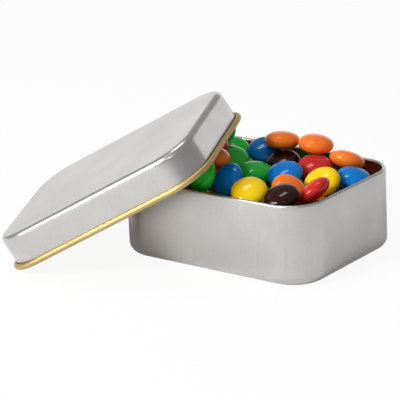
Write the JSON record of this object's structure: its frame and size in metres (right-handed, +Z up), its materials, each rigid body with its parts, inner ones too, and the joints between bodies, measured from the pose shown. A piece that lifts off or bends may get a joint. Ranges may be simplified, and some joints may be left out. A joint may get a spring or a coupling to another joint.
{
  "type": "candy tin",
  "caption": "Rounded rectangular slip-lid tin heaped with glossy lentil candies, its lid off and leaning on the rim.",
  "frame": {"origin": "centre of the tin's flat underside, on the table", "axes": "+Z up out of the tin, +X along the tin's long side, away from the end that the lid leans over, +Y across it to the back"},
  "size_m": [0.1323, 0.1048, 0.0593],
  "materials": {
    "tinplate": "satin tinplate outside, pale gold lacquer inside",
    "candy_green": "glossy sugar shell",
    "candy_blue": "glossy sugar shell",
    "candy_orange": "glossy sugar shell",
    "candy_yellow": "glossy sugar shell",
    "candy_red": "glossy sugar shell",
    "candy_brown": "glossy sugar shell"
  },
  "bodies": {
    "tin": {"buried_candies": "candy_brown", "candy_blue_1": "candy_blue", "candy_blue_2": "candy_blue", "candy_blue_3": "candy_blue", "candy_blue_4": "candy_blue", "candy_blue_5": "candy_blue", "candy_blue_6": "candy_blue", "candy_blue_7": "candy_blue", "candy_brown_1": "candy_brown", "candy_brown_2": "candy_brown", "candy_brown_3": "candy_brown", "candy_brown_4": "candy_brown", "candy_brown_5": "candy_brown", "candy_brown_6": "candy_brown", "candy_green_1": "candy_green", "candy_green_2": "candy_green", "candy_green_3": "candy_green", "candy_green_4": "candy_green", "candy_green_5": "candy_green", "candy_green_6": "candy_green", "candy_green_7": "candy_green", "candy_green_8": "candy_green", "candy_green_9": "candy_green", "candy_orange_1": "candy_orange", "candy_orange_10": "candy_orange", "candy_orange_2": "candy_orange", "candy_orange_3": "candy_orange", "candy_orange_4": "candy_orange", "candy_orange_5": "candy_orange", "candy_orange_6": "candy_orange", "candy_orange_7": "candy_orange", "candy_orange_8": "candy_orange", "candy_orange_9": "candy_orange", "candy_red_1": "candy_red", "candy_red_2": "candy_red", "candy_red_3": "candy_red", "candy_red_4": "candy_red", "candy_red_5": "candy_red", "candy_red_6": "candy_red", "candy_yellow_1": "candy_yellow", "candy_yellow_2": "candy_yellow", "candy_yellow_3": "candy_yellow", "candy_yellow_4": "candy_yellow", "candy_yellow_5": "candy_yellow", "tin_body": "tinplate"},
    "lid": {"slip_lid": "tinplate"}
  },
  "joints": [
    {"name": "lid_lift", "type": "slide", "parent": "tin", "child": "lid", "axis": [0, 0, 1], "range_m": [0, 0.06]}
  ]
}
